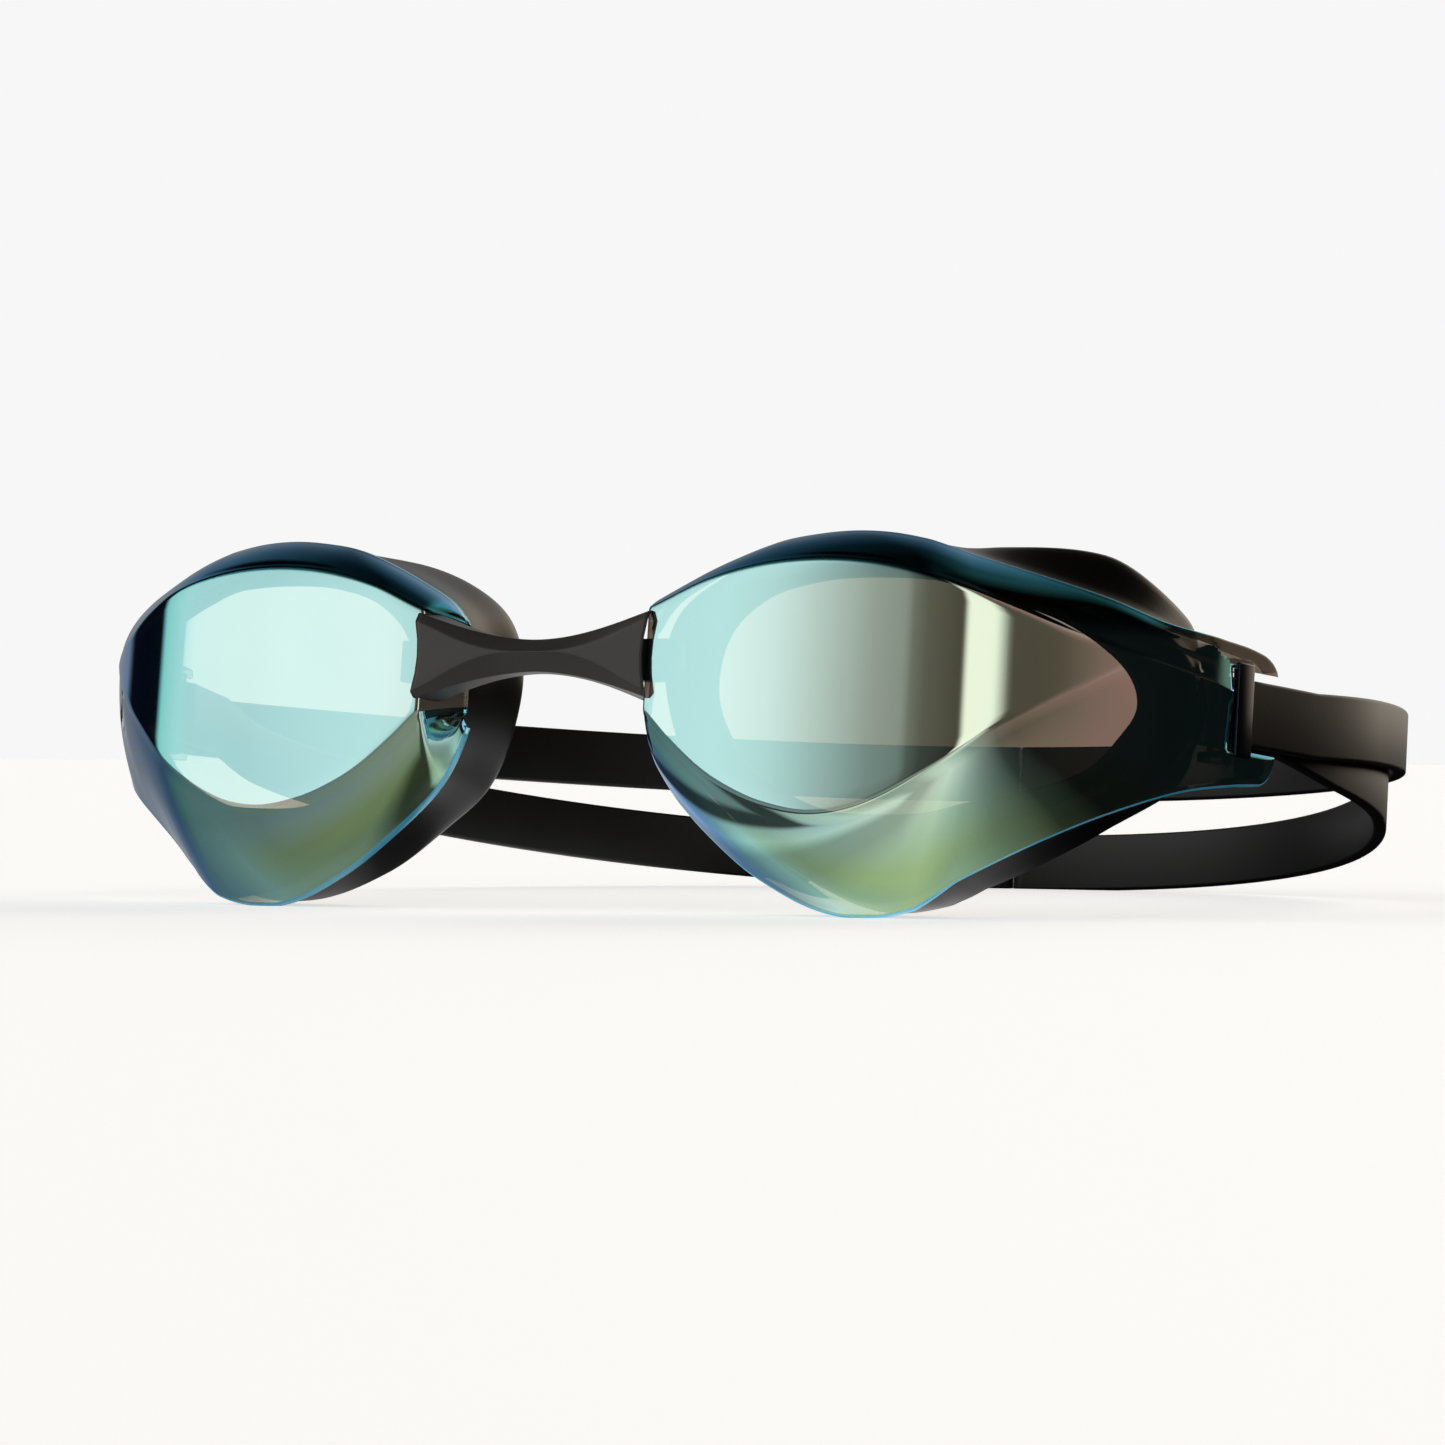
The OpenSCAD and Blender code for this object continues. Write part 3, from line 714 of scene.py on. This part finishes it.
floorData = bpy.data.meshes.new("floor")
floorMesh = bmesh.new()
bmesh.ops.create_grid(floorMesh, x_segments=2, y_segments=2, size=40)
floorMesh.to_mesh(floorData)
floorMesh.free()
floor = bpy.data.objects.new("floor", floorData)
bpy.context.scene.collection.objects.link(floor)
floorGlow = {
    # what the lenses mirror of the floor, by millimetres across it, right and back
    "across": [(-150, 0.3), (-65, 0.3), (-45, 0.36), (-25, 0.42), (-16, 0.4), (-9, 0.08),
               (1, 0.08), (5, 0.8), (12, 1.0), (18, 0.55), (26, 0.6), (34, 0.9), (42, 1.0),
               (52, 0.75),
               (60, 0.35), (68, 0.06), (76, 0.01), (150, 0.01)],
    "noseY": -0.056, "seen": 0.64,
}
pale = newMaterial("paleFloor")
spot = addNode(pale, "ShaderNodeTexCoord")
axes = addNode(pale, "ShaderNodeSeparateXYZ", links={0: spot.outputs["Object"]})
slant = addNode(pale, "ShaderNodeMath", {"operation": "ADD"},
                {0: axes.outputs["X"], 1: axes.outputs["Y"]})
span = addNode(pale, "ShaderNodeMapRange", links={"Value": slant.outputs[0]})
span.inputs["From Min"].default_value = floorGlow["noseY"] - 0.15
span.inputs["From Max"].default_value = floorGlow["noseY"] + 0.15
glow = addNode(pale, "ShaderNodeValToRGB", links={"Fac": span.outputs[0]})
setRamp(glow, [((x + 150) / 300, (b, b, b)) for x, b in floorGlow["across"]])
mirrored = addNode(pale, "ShaderNodeEmission", links={"Color": glow.outputs["Color"]})
lit = addNode(pale, "ShaderNodeBsdfPrincipled", Base_Color=linear("#f2f2f0"), Roughness=0.9,
              Emission_Color=linear("#ffffff"), Emission_Strength=floorGlow["seen"])
way = addNode(pale, "ShaderNodeLightPath")
pale = finishMaterial(pale, addNode(pale, "ShaderNodeMixShader", links={
    0: way.outputs["Is Camera Ray"], 1: mirrored.outputs[0], 2: lit.outputs[0]}).outputs[0])
floorData.materials.append(pale)

studio = {
    # brightness of the room by azimuth in degrees, 0 ahead of the goggles, + to the right
    "round": [(-180, (1.6, 1.45, 1.25)), (-165, (0.7, 0.68, 0.66)), (-150, (0.25, 0.25, 0.25)),
              (-118, (0.5, 0.5, 0.5)), (-112, (0.01, 0.01, 0.015)), (-86, (0.01, 0.01, 0.015)),
              (-80, (1.4, 1.4, 1.4)), (-29, (1.35, 1.35, 1.35)), (-25, (1.15, 1.15, 1.15)),
              (-21, (0.75, 0.75, 0.75)), (-17, (0.4, 0.4, 0.4)), (-10, (0.16, 0.16, 0.16)),
              (0, (0.08, 0.08, 0.08)), (25, (0.03, 0.03, 0.03)), (29, (1.4, 1.3, 1.3)),
              (39, (1.4, 1.3, 1.3)), (44, (0.03, 0.03, 0.03)), (60, (0.01, 0.01, 0.01)),
              (125, (0.01, 0.01, 0.01)), (138, (1.2, 1.0, 0.8)), (156, (3.0, 2.6, 2.1)),
              (180, (1.6, 1.45, 1.25))],
    # the same from the floor up to overhead
    "up": [(-90, 1.0), (8, 1.0), (30, 0.95), (45, 0.5), (60, 0.12), (75, 0.02), (90, 0.01)],
    "strength": 1.0,
}
world = bpy.data.worlds.new("studio")
bpy.context.scene.world = world
world.use_nodes = True
world.node_tree.nodes.clear()
toward = addNode(world, "ShaderNodeTexCoord")
parts = addNode(world, "ShaderNodeSeparateXYZ", links={0: toward.outputs["Generated"]})
ahead = addNode(world, "ShaderNodeMath", {"operation": "MULTIPLY"}, {0: parts.outputs["Y"]})
ahead.inputs[1].default_value = -1
azimuth = addNode(world, "ShaderNodeMath", {"operation": "ARCTAN2"},
                  {0: parts.outputs["X"], 1: ahead.outputs[0]})
azimuthShare = addNode(world, "ShaderNodeMapRange", links={"Value": azimuth.outputs[0]})
azimuthShare.inputs["From Min"].default_value = -math.pi
azimuthShare.inputs["From Max"].default_value = math.pi
roundRamp = addNode(world, "ShaderNodeValToRGB", links={"Fac": azimuthShare.outputs[0]})
setRamp(roundRamp, [((a + 180) / 360, b) for a, b in studio["round"]])
height = addNode(world, "ShaderNodeMath", {"operation": "ARCSINE"}, {0: parts.outputs["Z"]})
heightShare = addNode(world, "ShaderNodeMapRange", links={"Value": height.outputs[0]})
heightShare.inputs["From Min"].default_value = -math.pi / 2
heightShare.inputs["From Max"].default_value = math.pi / 2
upRamp = addNode(world, "ShaderNodeValToRGB", links={"Fac": heightShare.outputs[0]})
setRamp(upRamp, [((a + 90) / 180, (b, b, b)) for a, b in studio["up"]])
product = addNode(world, "ShaderNodeMix", {"data_type": "RGBA", "blend_type": "MULTIPLY"})
product.inputs[0].default_value = 1
world.node_tree.links.new(roundRamp.outputs[0], product.inputs[6])
world.node_tree.links.new(upRamp.outputs[0], product.inputs[7])
room = addNode(world, "ShaderNodeBackground", links={"Color": product.outputs[2]},
               Strength=studio["strength"])
seen = addNode(world, "ShaderNodeBackground", Color=(0.93, 0.93, 0.93, 1), Strength=1.0)
path = addNode(world, "ShaderNodeLightPath")
choice = addNode(world, "ShaderNodeMixShader", links={0: path.outputs["Is Camera Ray"],
                                                      1: room.outputs[0], 2: seen.outputs[0]})
addNode(world, "ShaderNodeOutputWorld", links={"Surface": choice.outputs[0]})

camera = bpy.data.objects.new("camera", bpy.data.cameras.new("camera"))
bpy.context.scene.collection.objects.link(camera)
camera.data.lens = 123.16
camera.data.sensor_width = 36
camera.data.clip_start = 0.01
camera.rotation_mode = "QUATERNION"
a, e = math.radians(28), math.radians(-0.44)
back = Vector((math.sin(a) * math.cos(e), -math.cos(a) * math.cos(e), math.sin(e)))
camera.location = (0.23629, -0.46127, 0.01453)
camera.rotation_quaternion = ((-back).to_track_quat("-Z", "Y")
                              @ Matrix.Rotation(math.radians(0.23), 3, "Z").to_quaternion())
bpy.context.scene.camera = camera
bpy.context.scene.view_settings.view_transform = "Standard"
print("stage and camera set")
